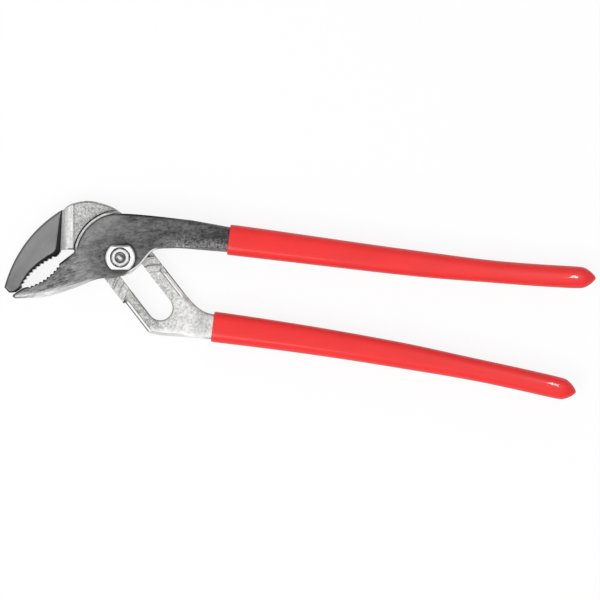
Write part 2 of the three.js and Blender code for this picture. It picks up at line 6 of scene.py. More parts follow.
import bmesh
import bpy
import numpy as np
from bpy.props import FloatProperty, FloatVectorProperty, IntProperty, PointerProperty
from bpy.types import Operator, Panel, PropertyGroup
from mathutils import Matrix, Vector

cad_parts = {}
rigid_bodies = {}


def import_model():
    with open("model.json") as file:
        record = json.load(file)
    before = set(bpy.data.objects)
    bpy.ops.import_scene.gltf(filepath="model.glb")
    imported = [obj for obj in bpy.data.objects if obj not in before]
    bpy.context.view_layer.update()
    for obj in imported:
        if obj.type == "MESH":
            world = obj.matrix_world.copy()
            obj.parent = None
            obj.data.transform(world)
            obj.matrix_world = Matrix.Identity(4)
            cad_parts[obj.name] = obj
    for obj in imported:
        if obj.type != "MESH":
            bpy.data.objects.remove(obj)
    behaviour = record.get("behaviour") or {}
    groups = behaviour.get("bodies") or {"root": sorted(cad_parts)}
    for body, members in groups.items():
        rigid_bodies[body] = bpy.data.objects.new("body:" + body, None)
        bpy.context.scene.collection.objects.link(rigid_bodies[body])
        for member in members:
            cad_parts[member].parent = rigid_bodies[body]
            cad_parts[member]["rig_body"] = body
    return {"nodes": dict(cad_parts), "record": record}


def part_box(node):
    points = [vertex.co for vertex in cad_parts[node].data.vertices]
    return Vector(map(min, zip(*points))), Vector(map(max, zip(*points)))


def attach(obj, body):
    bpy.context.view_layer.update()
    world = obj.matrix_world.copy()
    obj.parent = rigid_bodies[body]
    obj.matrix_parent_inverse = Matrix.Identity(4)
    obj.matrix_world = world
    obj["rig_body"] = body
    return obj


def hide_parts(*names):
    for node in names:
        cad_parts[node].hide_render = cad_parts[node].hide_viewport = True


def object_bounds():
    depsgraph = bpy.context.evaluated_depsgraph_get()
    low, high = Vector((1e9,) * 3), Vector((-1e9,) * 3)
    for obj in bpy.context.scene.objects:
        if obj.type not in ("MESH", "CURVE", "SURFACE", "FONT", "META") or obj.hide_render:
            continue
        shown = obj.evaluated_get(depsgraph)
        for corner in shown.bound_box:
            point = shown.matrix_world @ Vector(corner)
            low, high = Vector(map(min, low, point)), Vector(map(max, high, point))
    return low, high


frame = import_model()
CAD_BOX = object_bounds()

bl_info = {
    "name": "Water Pump Pliers",
    "version": (1, 0, 0),
    "blender": (4, 5, 0),
    "location": "3D View > Sidebar > Pliers",
    "description": "Gives the pliers worn steel, a plated pivot, dipped grips and a studio stage",
    "category": "Object",
}

MM = 0.001
WELD = 0.002 * MM  # loose triangles of a solid meet within this distance
FLAT = math.radians(0.5)  # faces that lean less than this against each other are one flat
SHARP = math.radians(28)  # edges that bend by more are sharp: on a grip, at its mouth, bore and tip

SLIDE = frame["record"]["behaviour"]["joints"][0]
SLOT_TURN = math.degrees(math.atan2(SLIDE["axis"][1], SLIDE["axis"][0]))
TRAVEL = SLIDE["range_m"][1] / MM

# Places on the nut and the bolt, in millimetres
NUT_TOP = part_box("pivot_nut")[1].z / MM
NUT_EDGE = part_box("pivot_nut")[1].x / MM
NUT_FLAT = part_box("pivot_nut")[1].y / MM
HEAD_TOP = 3.2  # inner side of the bolt's head
SHANK = 4.9  # radii of the bolt's shank and of the dimple in its end
DIMPLE = 3.0
DIMPLE_GLINT_TURN = -38  # turn of the painted highlight in the dimple, in degrees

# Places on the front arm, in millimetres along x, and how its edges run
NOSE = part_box("front_arm")[0].x / MM  # tip of the lower jaw
THROAT = -24.0  # the lower jaw meets the round edge here
NECK = 34.0  # the eye has narrowed into the handle here
ARC = 24.2  # radius of the round edge, about the pivot
LOWER_BITE = 33.75  # lean of the working edge, in degrees
BITE_LINE = 9.5  # foot of the teeth, measured across that edge
UNDERSIDE_SLOPE = 0.807  # rise of the lower jaw's curved underside per millimetre of x
UNDERSIDE_BEND = 0.008
HANDLE_FALL = 0.06  # fall of the handle's lower side per millimetre of x

# Places on the rear arm, in millimetres: heights, then x, and how its edges run
BACK = 3.4
LEG_TOP = 8.35  # the grooves' floors are as high
PAD_TOP = 10.2
JAW_FACE = -31.3  # edge of the upper jaw's ground face
JAW_FOOT = -24.6  # end of the fillet beside it
ROOT = 34.0  # the legs have grown into the handle here
UPPER_BITE = -32.86  # lean of the line across the working edge, in degrees
BITE_EDGE = -38.6  # start of the slope round that edge, measured along that line
ROOT_FALL = 0.087  # fall of the root's lower side per millimetre of x

# Places on the rear arm along the slot and across it, in millimetres
PAD_FOOT = 17.5  # end of the grooved pad
SLOT_FOOT = TRAVEL + 1.5  # centre of the slot's round end
SLOT_HALF = 6.4
LEG_LEFT = -12.6  # outer edges of the legs
LEG_RIGHT = 14.6
LEFT_END = 39.5  # ends of the straight along those edges
RIGHT_END = 35.0

# How level a face is, from 1 square to the pivot to 0 on a wall, and how far corners lie in
CHAMFERS = (0.42, 0.86)
OFF_WALLS = (0.02, 0.12)
CORNERS = (-0.02, -0.12)

# Stage, in metres
WHITE = (1, 1, 1)
FLOOR_GREY = (0.9, 0.9, 0.9)
FLOOR_GLOW = 0.88  # share of white in the floor where it is seen
FLOOR_HALF = 3.0
VIEW_END = 100.0
KEY_SIZE = 1.2
KEY_PLACE = Vector((-0.5, -0.6, 1.3))
KEY_AIM = Vector((0.09, -0.02, 0.0))
GLINT_SIZE = (24 * MM, 55 * MM)
GLINT_PLACE = Vector((0.27, 0.001, 0.31))
GLINT_TURN = math.radians(-13)


class Wire:
    """An output of a shader node. Arithmetic on it adds Math nodes."""

    def __init__(self, finish, socket):
        self.finish = finish
        self.socket = socket

    def math(self, operation, first, second=0.0):
        return self.finish.node("ShaderNodeMath", {"operation": operation}, {0: first, 1: second})

    def __add__(self, other):
        return self.math("ADD", self, other)

    def __radd__(self, other):
        return self.math("ADD", other, self)

    def __sub__(self, other):
        return self.math("SUBTRACT", self, other)

    def __rsub__(self, other):
        return self.math("SUBTRACT", other, self)

    def __mul__(self, other):
        return self.math("MULTIPLY", self, other)

    def __rmul__(self, other):
        return self.math("MULTIPLY", other, self)

    def __pow__(self, other):
        return self.math("POWER", self, other)

    def __abs__(self):
        return self.math("ABSOLUTE", self)

    def __or__(self, other):
        return self.math("MAXIMUM", self, other)

    def __ror__(self, other):
        return self.math("MAXIMUM", other, self)

    def step(self, start, end):
        """0 before start and 1 past end, with a soft rise between them. End may be the lower one."""
        settings = {"interpolation_type": "SMOOTHSTEP"}
        return self.finish.node(
            "ShaderNodeMapRange", settings, {"Value": self, "From Min": start, "From Max": end})

    def band(self, low, high, soft):
        """1 between two values, with soft ends."""
        return self.step(low - soft, low + soft) * self.step(high + soft, high - soft)

    def also(self, name):
        """Another output of the same node."""
        return Wire(self.finish, self.socket.node.outputs[name])


def distance(first, second):
    """How far a point lies from where both values are 0."""
    return (first * first + second * second) ** 0.5


class Finish:
    """The nodes of a material or of the world."""

    def __init__(self, owner):
        owner.use_nodes = True
        self.owner = owner
        self.tree = owner.node_tree
        self.tree.nodes.clear()

    def node(self, kind, settings=None, inputs=None, output=0):
        """Adds a node, sets its settings, then its sockets, and gives one of its outputs."""
        made = self.tree.nodes.new(kind)
        for key, value in (settings or {}).items():
            setattr(made, key, value)
        for key, value in (inputs or {}).items():
            socket = self.pick(made.inputs, key)
            if isinstance(value, Wire):
                self.tree.links.new(value.socket, socket)
            elif socket.type == "RGBA":
                socket.default_value = (*value[:3], 1)
            else:
                socket.default_value = value
        return Wire(self, self.pick(made.outputs, output)) if made.outputs else made

    @staticmethod
    def pick(sockets, key):
        """A socket by its number, its identifier or its name."""
        if isinstance(key, int):
            return sockets[key]
        return next(s for s in sockets if key in (s.identifier, s.name))

    def place(self, size=(1, 1, 1), turn=0.0):
        """Object coordinates, turned by degrees about the pivot, in steps of so many millimetres."""
        coordinates = self.node("ShaderNodeTexCoord", output="Object")
        rotation = (0, 0, math.radians(turn))
        inputs = {"Vector": coordinates, "Rotation": rotation, "Scale": [MM * s for s in size]}
        return self.node("ShaderNodeMapping", {"vector_type": "TEXTURE"}, inputs)

    def axes(self, turn=0.0):
        """Object coordinates in millimetres, turned by degrees about the pivot, as three values."""
        x = self.node("ShaderNodeSeparateXYZ", inputs={0: self.place(turn=turn)})
        return x, x.also("Y"), x.also("Z")

    def level(self):
        """1 on faces square to the pivot and 0 on walls along it."""
        normal = self.node("ShaderNodeTexCoord", output="Normal")
        return abs(self.node("ShaderNodeSeparateXYZ", inputs={0: normal}, output="Z"))

    def noise(self, size, turn=0.0, detail=2.0, roughness=0.5):
        """Cloudy values about 0, with clouds of a size in millimetres."""
        inputs = {"Scale": 1.0, "Detail": detail, "Roughness": roughness}
        inputs["Vector"] = self.place(size, turn)
        return self.node("ShaderNodeTexNoise", inputs=inputs) - 0.5

    def corners(self):
        """1 in inner corners, where the relief kept on the mesh is below 0."""
        relief = self.node("ShaderNodeAttribute", {"attribute_name": "relief"}, output="Fac")
        return relief.step(*CORNERS)

    def mix(self, factor, first, second):
        """A colour between two colours."""
        inputs = {"Factor_Float": factor, "A_Color": first, "B_Color": second}
        return self.node("ShaderNodeMix", {"data_type": "RGBA"}, inputs, "Result_Color")

    def bump(self, height, depth, strength):
        inputs = {"Height": height, "Distance": depth, "Strength": strength}
        return self.node("ShaderNodeBump", inputs=inputs)

    def surface(self, inputs):
        """Ends the material with its surface and gives the material."""
        shader = self.node("ShaderNodeBsdfPrincipled", inputs=inputs)
        self.node("ShaderNodeOutputMaterial", inputs={"Surface": shader})
        return self.owner


class Places:
    """Where a point of an arm lies, in millimetres from the pivot, and how level its face is."""

    def __init__(self, finish):
        self.x, self.y, self.z = finish.axes()
        self.radius = distance(self.x, self.y)
        self.level = finish.level()
        self.slanted = self.level.band(*CHAMFERS, soft=0.06)


class SteelSettings(PropertyGroup):
    """Sizes and colours of the forgings and the pivot."""

    spacing: FloatProperty(
        name="Spacing", description="Distance between points on a forging",
        default=0.25 * MM, min=0.2 * MM, unit="LENGTH", precision=5)
    passes: IntProperty(
        name="Softening", description="Times that a forging's edges are eased", default=2, min=0)
    kept: FloatProperty(
        name="Kept", description="Share of a forging's triangles that is kept, most of them at edges",
        default=0.33, min=0.05, max=1, subtype="FACTOR")
    ground_dark: FloatVectorProperty(
        name="Ground dark", description="Darkest tone of the ground arm",
        subtype="COLOR", size=3, min=0, max=1, default=(0.045, 0.045, 0.046))
    ground_light: FloatVectorProperty(
        name="Ground light", description="Lightest tone of the ground arm",
        subtype="COLOR", size=3, min=0, max=1, default=(0.44, 0.44, 0.44))
    jaw_grey: FloatVectorProperty(
        name="Jaw grey", description="Tone of the upper jaw's ground face",
        subtype="COLOR", size=3, min=0, max=1, default=(0.175, 0.175, 0.178))
    blasted_light: FloatVectorProperty(
        name="Blasted light", description="Light tone of the blasted forging",
        subtype="COLOR", size=3, min=0, max=1, default=(0.76, 0.755, 0.745))
    blasted_dark: FloatVectorProperty(
        name="Blasted dark", description="Dark specks of the blasted forging",
        subtype="COLOR", size=3, min=0, max=1, default=(0.19, 0.19, 0.183))
    # Painted highlight: the tone of bright rims and chamfers
    rim_highlight: FloatVectorProperty(
        name="Worn", description="Tone of bright worn rims",
        subtype="COLOR", size=3, min=0, max=1, default=(0.86, 0.86, 0.855))
    # Painted shade in corners, creases and gaps, and grime: the tone of the darkest marks
    shade_and_grime: FloatVectorProperty(
        name="Grime", description="Tone of dark corners and oily gaps",
        subtype="COLOR", size=3, min=0, max=1, default=(0.026, 0.026, 0.027))
    plated: FloatVectorProperty(
        name="Plated", description="Tone of the plated nut and bolt",
        subtype="COLOR", size=3, min=0, max=1, default=(0.9, 0.9, 0.895))
    edge_width: FloatProperty(
        name="Edge width", description="Rounding of the nut's and the bolt's edges",
        default=0.18 * MM, min=0, unit="LENGTH", precision=5)


class GripSettings(PropertyGroup):
    """Finish of the dipped grips."""

    red: FloatVectorProperty(
        name="Red", description="Colour of the dipped vinyl",
        subtype="COLOR", size=3, min=0, max=1, default=(0.86, 0.022, 0.022))
    scuffed: FloatVectorProperty(
        name="Scuffed", description="Paler colour of scuffs on the vinyl",
        subtype="COLOR", size=3, min=0, max=1, default=(0.95, 0.25, 0.25))
    lip_hold: FloatProperty(
        name="Lip hold", description="How firmly the grips keep sharp edges, most of them at the mouths",
        default=1.0, min=0, max=1, subtype="FACTOR")
    smoothness: IntProperty(
        name="Smoothness", description="Subdivision of the grips", default=2, min=0, max=3)


class StageSettings(PropertyGroup):
    """Camera and light."""

    view_width: FloatProperty(
        name="View width", description="Width that the camera takes in",
        default=310.2 * MM, min=0.01, unit="LENGTH")
    view_centre: FloatVectorProperty(
        name="View centre", description="Point in the middle of the picture",
        size=2, subtype="XYZ", unit="LENGTH", default=(92.6 * MM, -21.9 * MM))
    lens: FloatProperty(
        name="Lens", description="Focal length, in millimetres", default=300.0, min=20.0)
    key_power: FloatProperty(
        name="Key light", description="Power of the large soft light", default=14.0, min=0, unit="POWER")
    glint_power: FloatProperty(
        name="Glint", description="Power of the strip light that glints on the grips' ends",
        default=0.3, min=0, unit="POWER")
    world_light: FloatProperty(
        name="Surroundings", description="Strength of the light from all round", default=0.68, min=0)


def added(name, data):
    """A new object in the scene, at the origin."""
    made = bpy.data.objects.new(name, data)
    bpy.context.scene.collection.objects.link(made)
    return made


def merged_copy(node):
    """A solid of the frame as a bmesh whose triangles share their corners."""
    shape = bmesh.new()
    shape.from_mesh(frame["nodes"][node].data)
    bmesh.ops.remove_doubles(shape, verts=shape.verts, dist=WELD)
    return shape


def new_piece(name, shape):
    """An object at the origin with a bmesh's faces. The bmesh is used up."""
    if not shape.faces or not all(edge.is_manifold for edge in shape.edges):
        raise RuntimeError(f"{name} isn't closed")
    mesh = bpy.data.meshes.new(name)
    shape.to_mesh(mesh)
    shape.free()
    mesh.shade_smooth()
    return added(name, mesh)


def dress(piece, node, material):
    """The piece stands for a node, on that node's body, with its finish."""
    piece.data.materials.append(material)
    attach(piece, frame["nodes"][node]["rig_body"])
    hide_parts(node)


def applied(source):
    """The faces of an object with its modifiers applied, as a bmesh. The object is used up."""
    evaluated = source.evaluated_get(bpy.context.evaluated_depsgraph_get())
    mesh = bpy.data.meshes.new_from_object(evaluated)
    bpy.data.meshes.remove(source.data)
    shape = bmesh.new()
    shape.from_mesh(mesh)
    bpy.data.meshes.remove(mesh)
    return shape


def even_piece(name, node, steel):
    """A piece with a node's solid at evenly spaced points, its edges eased and its flats thinned."""
    source = new_piece(f"{node}_solid", merged_copy(node))
    remesh = source.modifiers.new("even", "REMESH")
    remesh.mode = "VOXEL"
    remesh.voxel_size = steel.spacing
    ease = source.modifiers.new("ease", "SMOOTH")
    ease.factor = 0.5
    ease.iterations = steel.passes
    fine = new_piece(f"{node}_fine", applied(source))
    mark_relief(fine.data, steel.spacing)
    thin = fine.modifiers.new("thin", "DECIMATE")
    thin.ratio = steel.kept
    return new_piece(name, applied(fine))


def mark_relief(mesh, spacing, spread=2):
    """Keeps on each point how far it stands out from the points round it, for painted shade in corners.
    """
    count = len(mesh.vertices)
    places = np.empty(count * 3, np.float32)
    mesh.vertices.foreach_get("co", places)
    places = places.reshape(-1, 3).astype(float)
    normals = np.empty(count * 3, np.float32)
    mesh.vertex_normals.foreach_get("vector", normals)
    normals = normals.reshape(-1, 3).astype(float)
    ends = np.empty(len(mesh.edges) * 2, np.int32)
    mesh.edges.foreach_get("vertices", ends)
    first, second = ends.reshape(-1, 2).T
    degree = np.bincount(ends, minlength=count)

    def around(values):
        total = np.bincount(first, values[second], count) + np.bincount(second, values[first], count)
        return total / degree

    middle = np.stack([around(places[:, axis]) for axis in range(3)], axis=1)
    relief = ((places - middle) * normals).sum(axis=1) / spacing
    for _ in range(spread):
        relief = 0.5 * relief + 0.5 * around(relief)
    attribute = mesh.attributes.new("relief", "FLOAT", "POINT")
    attribute.data.foreach_set("value", relief.astype(np.float32))


def new_material(name):
    return Finish(bpy.data.materials.new(name))


def scaled(colour, share):
    """A colour made darker, or lighter by a share above 1."""
    return [share * part for part in colour]


def ground_steel(steel):
    """Front arm: dark ground steel with short grinding strokes, rims of painted highlight, creases of
    painted shade and the nut's painted shadow.
    """
    finish = new_material("ground steel")
    at = Places(finish)

    # Short strokes of the grinding belt, steeper on the jaw
    jaw = at.x.step(THROAT + 16, THROAT - 2)
    jaw_strokes = finish.noise((3.6, 0.8, 2), turn=22, detail=3, roughness=0.65)
    eye_strokes = finish.noise((3.2, 0.8, 2), turn=2, detail=3, roughness=0.65)
    strokes = jaw_strokes * jaw + eye_strokes * (1 - jaw)

    # Paler round the eye towards the jaw, darker along the handle, whose lower side is pale and speckled
    blotch = finish.noise((3, 2, 2), turn=12)
    cloud = finish.noise((11, 7, 7), detail=3)
    speck = finish.noise((1.1, 1, 1), roughness=0.6)
    low_side = (at.y + HANDLE_FALL * at.x).step(14.5, 8) * at.x.step(NECK - 18, NECK)
    tone = 0.17 + 0.2 * at.radius.step(9, 21) * at.x.step(8, -6) - 0.07 * jaw
    tone = tone - 0.04 * at.x.step(2, 22) - 0.07 * at.x.step(NECK - 6, NECK + 8) + 0.2 * low_side
    tone = tone + (0.5 + 0.8 * jaw) * strokes + 0.4 * cloud + 0.35 * blotch
    tone = tone + (0.25 + 1.3 * low_side) * speck
    colour = finish.mix(tone, steel.ground_dark, steel.ground_light)
    # Painted shadow of the nut: a dark ring on the arm round it, fainter above it
    nut_shadow = at.radius.step(NUT_EDGE + 1.8, NUT_EDGE + 0.3) * (1 - 0.4 * at.y.step(3, 6))
    colour = finish.mix(nut_shadow * 0.66, colour, steel.shade_and_grime)

    # Painted highlight on all chamfers and on the rims; painted shade beside the arc and along the top
    # edge
    bright, dark = eye_rims(at, blotch)
    colour = finish.mix(at.slanted * 0.35, colour, steel.ground_light)
    colour = finish.mix(bright, colour, steel.rim_highlight)
    colour = finish.mix(dark, colour, steel.shade_and_grime)
    # Painted highlight where the belly rolls over; painted shade on the teeth, the nose and in inner
    # corners
    shine, teeth = lower_jaw_marks(finish, at, strokes)
    colour = finish.mix(shine, colour, steel.rim_highlight)
    colour = finish.mix(teeth | finish.corners(), colour, steel.shade_and_grime)

    return finish.surface({
        "Base Color": colour, "Metallic": 1 - 0.6 * (bright | shine), "Roughness": 0.42 + 0.3 * strokes,
        "Normal": finish.bump(0.6 * strokes + 0.4 * speck, depth=0.06 * MM, strength=0.6)})


def eye_rims(at, blotch):
    """Masks of the front arm's rim: a painted highlight on the arc and under the eye, painted shade
    beside the arc and along the top edge.
    """
    span = at.x.step(3, -4) * at.y.step(3, 7) * at.level.step(0.15, 0.45)
    arc = at.radius.step(ARC - 1.25, ARC - 0.95) * span * (0.8 + 0.9 * blotch)
    arc_line = at.radius.band(ARC - 1.95, ARC - 1.2, 0.2) * span * (0.85 + 0.9 * blotch)
    under = at.level.step(0.9, 0.8) * at.level.step(*OFF_WALLS) * at.x.band(4, 19, 2) * at.y.step(6, 4)
    over = at.y.step(8, 13) * at.x.step(-5, 1) * (1 - 0.6 * at.x.step(NECK - 20, NECK))
    return arc | under, arc_line | at.slanted * over


def lower_jaw_marks(finish, at, strokes):
    """Masks of the lower jaw: a belly that rolls over into light, painted as a highlight, then painted
    shade on the teeth and nose.
    """
    _, bite, _ = finish.axes(LOWER_BITE)
    rolling = at.level.step(0.999, 0.86) * at.level.step(*OFF_WALLS)
    roll = rolling * bite.step(BITE_LINE, BITE_LINE - 2) * at.x.step(THROAT + 12, THROAT + 7)
    tip = at.x.step(THROAT - 4, THROAT - 14) * at.x.step(NOSE - 0.1, NOSE + 2.9)
    height = at.y - (UNDERSIDE_SLOPE + UNDERSIDE_BEND * at.x) * at.x
    low = height.step(3.4, -0.8) * at.x.step(THROAT, THROAT - 6)
    shine = (roll * (0.7 + 0.4 * tip) | low * 0.75) * (0.8 + 1.4 * strokes)
    teeth = at.level.step(0.97, 0.85) * bite.step(BITE_LINE, BITE_LINE + 1.2)
    teeth = teeth * at.x.step(THROAT, THROAT - 4) * (0.45 + 0.5 * at.x.step(NOSE + 6.9, NOSE + 12.9))
    nose = at.x.step(NOSE + 2.5, NOSE + 0.9)
    return shine, teeth | nose * 0.8


def blasted_forging(steel):
    """Rear arm: bright speckled forging with rims of painted highlight and lines of painted shade, and a
    smooth grey ground face on the jaw.
    """
    finish = new_material("blasted forging")
    at = Places(finish)
    along, across, _ = finish.axes(SLOT_TURN)

    # Grains left by blasting, paler on the grooved pad and towards the handle
    grain = finish.noise((1.3, 1.3, 1.3), roughness=0.6)
    fine = finish.noise((0.55, 0.55, 0.55), roughness=0.6)
    cloud = finish.noise((8, 8, 8))
    pad = along.band(3, PAD_FOOT, 1)
    left_leg = across.step(-4, -7) * along.step(PAD_FOOT - 0.5, PAD_FOOT + 1.5)
    tone = 0.44 + 0.24 * at.x.step(ROOT - 18, ROOT) + 0.18 * pad - 0.12 * left_leg
    tone = tone + 1.5 * grain + 0.8 * fine + 0.4 * cloud
    colour = finish.mix(tone, steel.blasted_dark, steel.blasted_light)

    # The fillet at the jaw's foot is brushed, and painted pale as a highlight over its shade
    strip, foot_lines = fillet_marks(at, grain)
    brushed = finish.noise((0.7, 7, 2), turn=3, detail=3, roughness=0.6)
    pale = finish.mix(0.8 + brushed + 0.7 * grain, steel.blasted_dark, steel.rim_highlight)
    colour = finish.mix(strip, colour, pale)

    # Painted highlights on the legs' chamfers, the handle's lower side and the metal beside the arc
    plate = at.x.step(ROOT + 1, ROOT - 2) * at.z.step(LEG_TOP - 2.6, LEG_TOP - 2.2)
    leg_highlight, leg_lines = leg_marks(at, along, across)
    rim_highlight = leg_highlight * plate
    low_side = (at.y + ROOT_FALL * at.x).step(-33, -37.6) * at.level.step(0.1, 0.4)
    colour = finish.mix(rim_highlight | low_side * 0.65, colour, steel.rim_highlight)
    arc_highlight, gap_shadow = arc_marks(at, grain)
    colour = finish.mix(arc_highlight, colour, steel.rim_highlight)

    # Painted shade lies in the corners, along the legs, in the gap by the arc, at the fillet's end and
    # on the crook's slope; a dark rim runs round the slot
    crook = at.level.step(0.78, 0.5) * at.z.step(BACK + 0.6, BACK + 1.6)
    crook = crook * along.step(RIGHT_END - 2, RIGHT_END + 1)
    crook = crook * across.step(SLOT_HALF + 0.6, SLOT_HALF + 3.6)
    corners = finish.corners() * at.x.step(ROOT, ROOT - 3) * (0.7 - 0.65 * pad)
    lines = (leg_lines * 0.85 | slot_rim(along, across, grain)) * plate
    lines = lines | (gap_shadow | corners) * (1 - arc_highlight) | foot_lines | crook * 0.45
    colour = finish.mix(lines, colour, steel.shade_and_grime)

    face, ground = upper_jaw_face(finish, steel, at, grain)
    colour = finish.mix(ground, colour, face)
    bare = (strip | rim_highlight | arc_highlight | pad | at.x.step(ROOT - 6, ROOT + 2)) * (1 - ground)
    return finish.surface({
        "Base Color": colour, "Metallic": 0.9 - 0.6 * bare,
        "Roughness": 0.55 - 0.15 * ground + 0.3 * fine,
        "Normal": finish.bump((grain + fine) * (1 - 0.85 * ground), depth=0.12 * MM, strength=0.7)})


def fillet_marks(at, grain):
    """Masks of the upper jaw's fillet, and of the broken lines of painted shade at its end and round the
    pad.
    """
    upper = at.z.step(PAD_TOP - 0.5, PAD_TOP - 0.2) * at.x.step(0, -4)
    strip = at.x.band(JAW_FACE, JAW_FOOT, 0.3) * upper * at.level.step(*OFF_WALLS)
    seam = at.x.band(JAW_FOOT - 0.1, JAW_FOOT + 0.6, 0.25) * (0.4 + 3 * grain)
    rim = at.level.step(0.98, 0.85) * at.x.step(JAW_FOOT - 2.4, JAW_FOOT + 0.6) * (0.3 + 2 * grain)
    return strip, (seam | rim) * upper


def leg_marks(at, along, across):
    """Masks of painted highlights on the chamfers along the straight of both legs, and of two lines of
    painted shade beside each.
    """
    leg_highlight = across.band(LEG_RIGHT - 2.3, LEG_RIGHT - 0.5, 0.15)
    leg_highlight = leg_highlight * along.band(PAD_FOOT + 3, RIGHT_END, 0.8)
    chamfer = at.slanted * across.step(0, -8) * along.band(PAD_FOOT + 2.5, LEFT_END, 0.8)
    right = across.step(LEG_RIGHT - 0.6, LEG_RIGHT - 0.25)
    right = right | across.band(LEG_RIGHT - 2.95, LEG_RIGHT - 2.4, 0.15) * 0.7
    right = right * along.band(PAD_FOOT, RIGHT_END - 0.5, 1)
    left = across.step(LEG_LEFT + 0.8, LEG_LEFT + 0.5)
    left = left | across.band(LEG_LEFT + 1.6, LEG_LEFT + 2.1, 0.15) * 0.7
    left = left * along.band(PAD_FOOT + 1, LEFT_END - 0.5, 0.6)
    return leg_highlight | chamfer, (right | left) * at.level.step(0.04, 0.15)


def slot_rim(along, across, grain):
    """Mask of the dark rim round the slot's foot and along its left side."""
    past = along - SLOT_FOOT
    foot = distance(past, across).step(SLOT_HALF + 0.9, SLOT_HALF + 0.4) * past.step(0, 1.5)
    side = across.band(-SLOT_HALF - 0.7, -SLOT_HALF + 0.5, 0.25)
    side = side * along.band(PAD_FOOT - 1.5, SLOT_FOOT + 0.5, 0.5)
    return (foot | side) * (0.5 + 1.8 * grain)


def arc_marks(at, grain):
    """Masks beside the front arm's arc: a painted highlight on the right, a broken painted shadow in the
    gap on the left.
    """
    beside = at.radius.band(ARC - 0.6, ARC + 0.8, 0.15) * at.y.step(0, 3)
    arc_highlight = beside * at.x.step(-12, -8) * at.level.step(0.2, 0.5)
    arc_highlight = arc_highlight * at.z.step(LEG_TOP - 1.15, LEG_TOP - 0.55)
    gap_shadow = beside * at.x.step(-8, -12) * (0.7 + 1.5 * grain)
    gap_shadow = gap_shadow * at.z.step(LEG_TOP - 0.6, LEG_TOP - 0.3) * at.z.step(PAD_TOP - 0.05, PAD_TOP - 0.35)
    return arc_highlight, gap_shadow


def upper_jaw_face(finish, steel, at, grain):
    """Ground faces of the upper jaw: softly brushed, painted lighter towards the top, with painted shade
    on the slope and outline, and their mask.
    """
    polish = finish.noise((5, 0.5, 2), turn=62, detail=3, roughness=0.6)
    shade = finish.noise((16, 9, 9), turn=62)
    # Painted sheen: lighter towards the top and in soft clouds
    tone = 0.34 + 0.38 * at.y.step(-18, 8) + 0.3 * polish + 0.8 * shade
    colour = finish.mix(tone, scaled(steel.jaw_grey, 0.6), scaled(steel.jaw_grey, 1.4))
    bite, _, _ = finish.axes(UPPER_BITE)
    # Painted shade on the slope round the working edge and along the outline
    slope = (at.level + 0.16 * grain).step(0.98, 0.83) * bite.step(BITE_EDGE - 1.5, BITE_EDGE + 1)
    colour = finish.mix(slope, colour, scaled(steel.shade_and_grime, 2.4))
    outline = at.level.step(0.8, 0.6)
    colour = finish.mix(outline * 0.85, colour, steel.shade_and_grime)
    front = at.z.step(PAD_TOP + 3.4, PAD_TOP + 4.2) * at.level.step(0.15, 0.4)
    front = front * at.x.step(JAW_FOOT + 4.6, JAW_FOOT + 0.6)
    back = at.z.step(BACK + 1, BACK + 0.6) * at.x.step(JAW_FOOT - 2.4, JAW_FOOT - 4.4)
    return colour, front | back


def bright_plating(steel):
    """Nut and bolt: bright plating, with painted shade in the ring between them and in the staked
    dimple, and a painted highlight in the dimple.
    """
    finish = new_material("bright plating")
    x, y, z = finish.axes()
    radius = distance(x, y)
    rings = {"W": radius * 2.5, "Scale": 1.0, "Detail": 2.0}
    turning = finish.node("ShaderNodeTexNoise", {"noise_dimensions": "1D"}, rings) - 0.5
    dull = finish.noise((2.5, 2.5, 2.5), detail=3)
    head = z.step(HEAD_TOP + 0.8, HEAD_TOP + 0.1)
    stain = 0.12 + 0.3 * head + 1.2 * dull + (0.3 + head) * turning
    colour = finish.mix(stain, steel.plated, scaled(steel.plated, 0.65))

    # Painted shade in the ring and the dimple, a darker bolt end, a slanted painted highlight left in
    # the dimple, and painted shade on the upper flat
    front = z.step(NUT_TOP - 1.7, NUT_TOP - 1.4)
    ring = radius.band(SHANK - 0.85, SHANK + 0.25, 0.3) * (0.72 + 1.4 * dull)
    end = radius.step(SHANK - 0.5, SHANK - 0.9) * (0.24 + 0.6 * dull)
    glint_x, glint_y, _ = finish.axes(DIMPLE_GLINT_TURN)
    dimple_glint = abs(glint_y + 0.3).step(1.1, 0.2) * abs(glint_x + 0.1).step(2.0, 0.3)
    dimple = radius.step(DIMPLE + 0.3, DIMPLE - 0.2) * (0.88 + 0.4 * dull - 0.9 * dimple_glint)
    colour = finish.mix((ring | end | dimple) * front, colour, steel.shade_and_grime)
    flat = y.step(NUT_FLAT - 1.15, NUT_FLAT - 0.65) * abs(x).step(4.7, 4.1) * front
    colour = finish.mix(flat * (0.8 + dull), colour, scaled(steel.ground_light, 0.6))
    return finish.surface({
        "Base Color": colour, "Metallic": 0.75, "Roughness": 0.36 + 0.2 * dull + 0.1 * turning,
        "Normal": finish.bump(turning, depth=0.02 * MM, strength=0.5)})


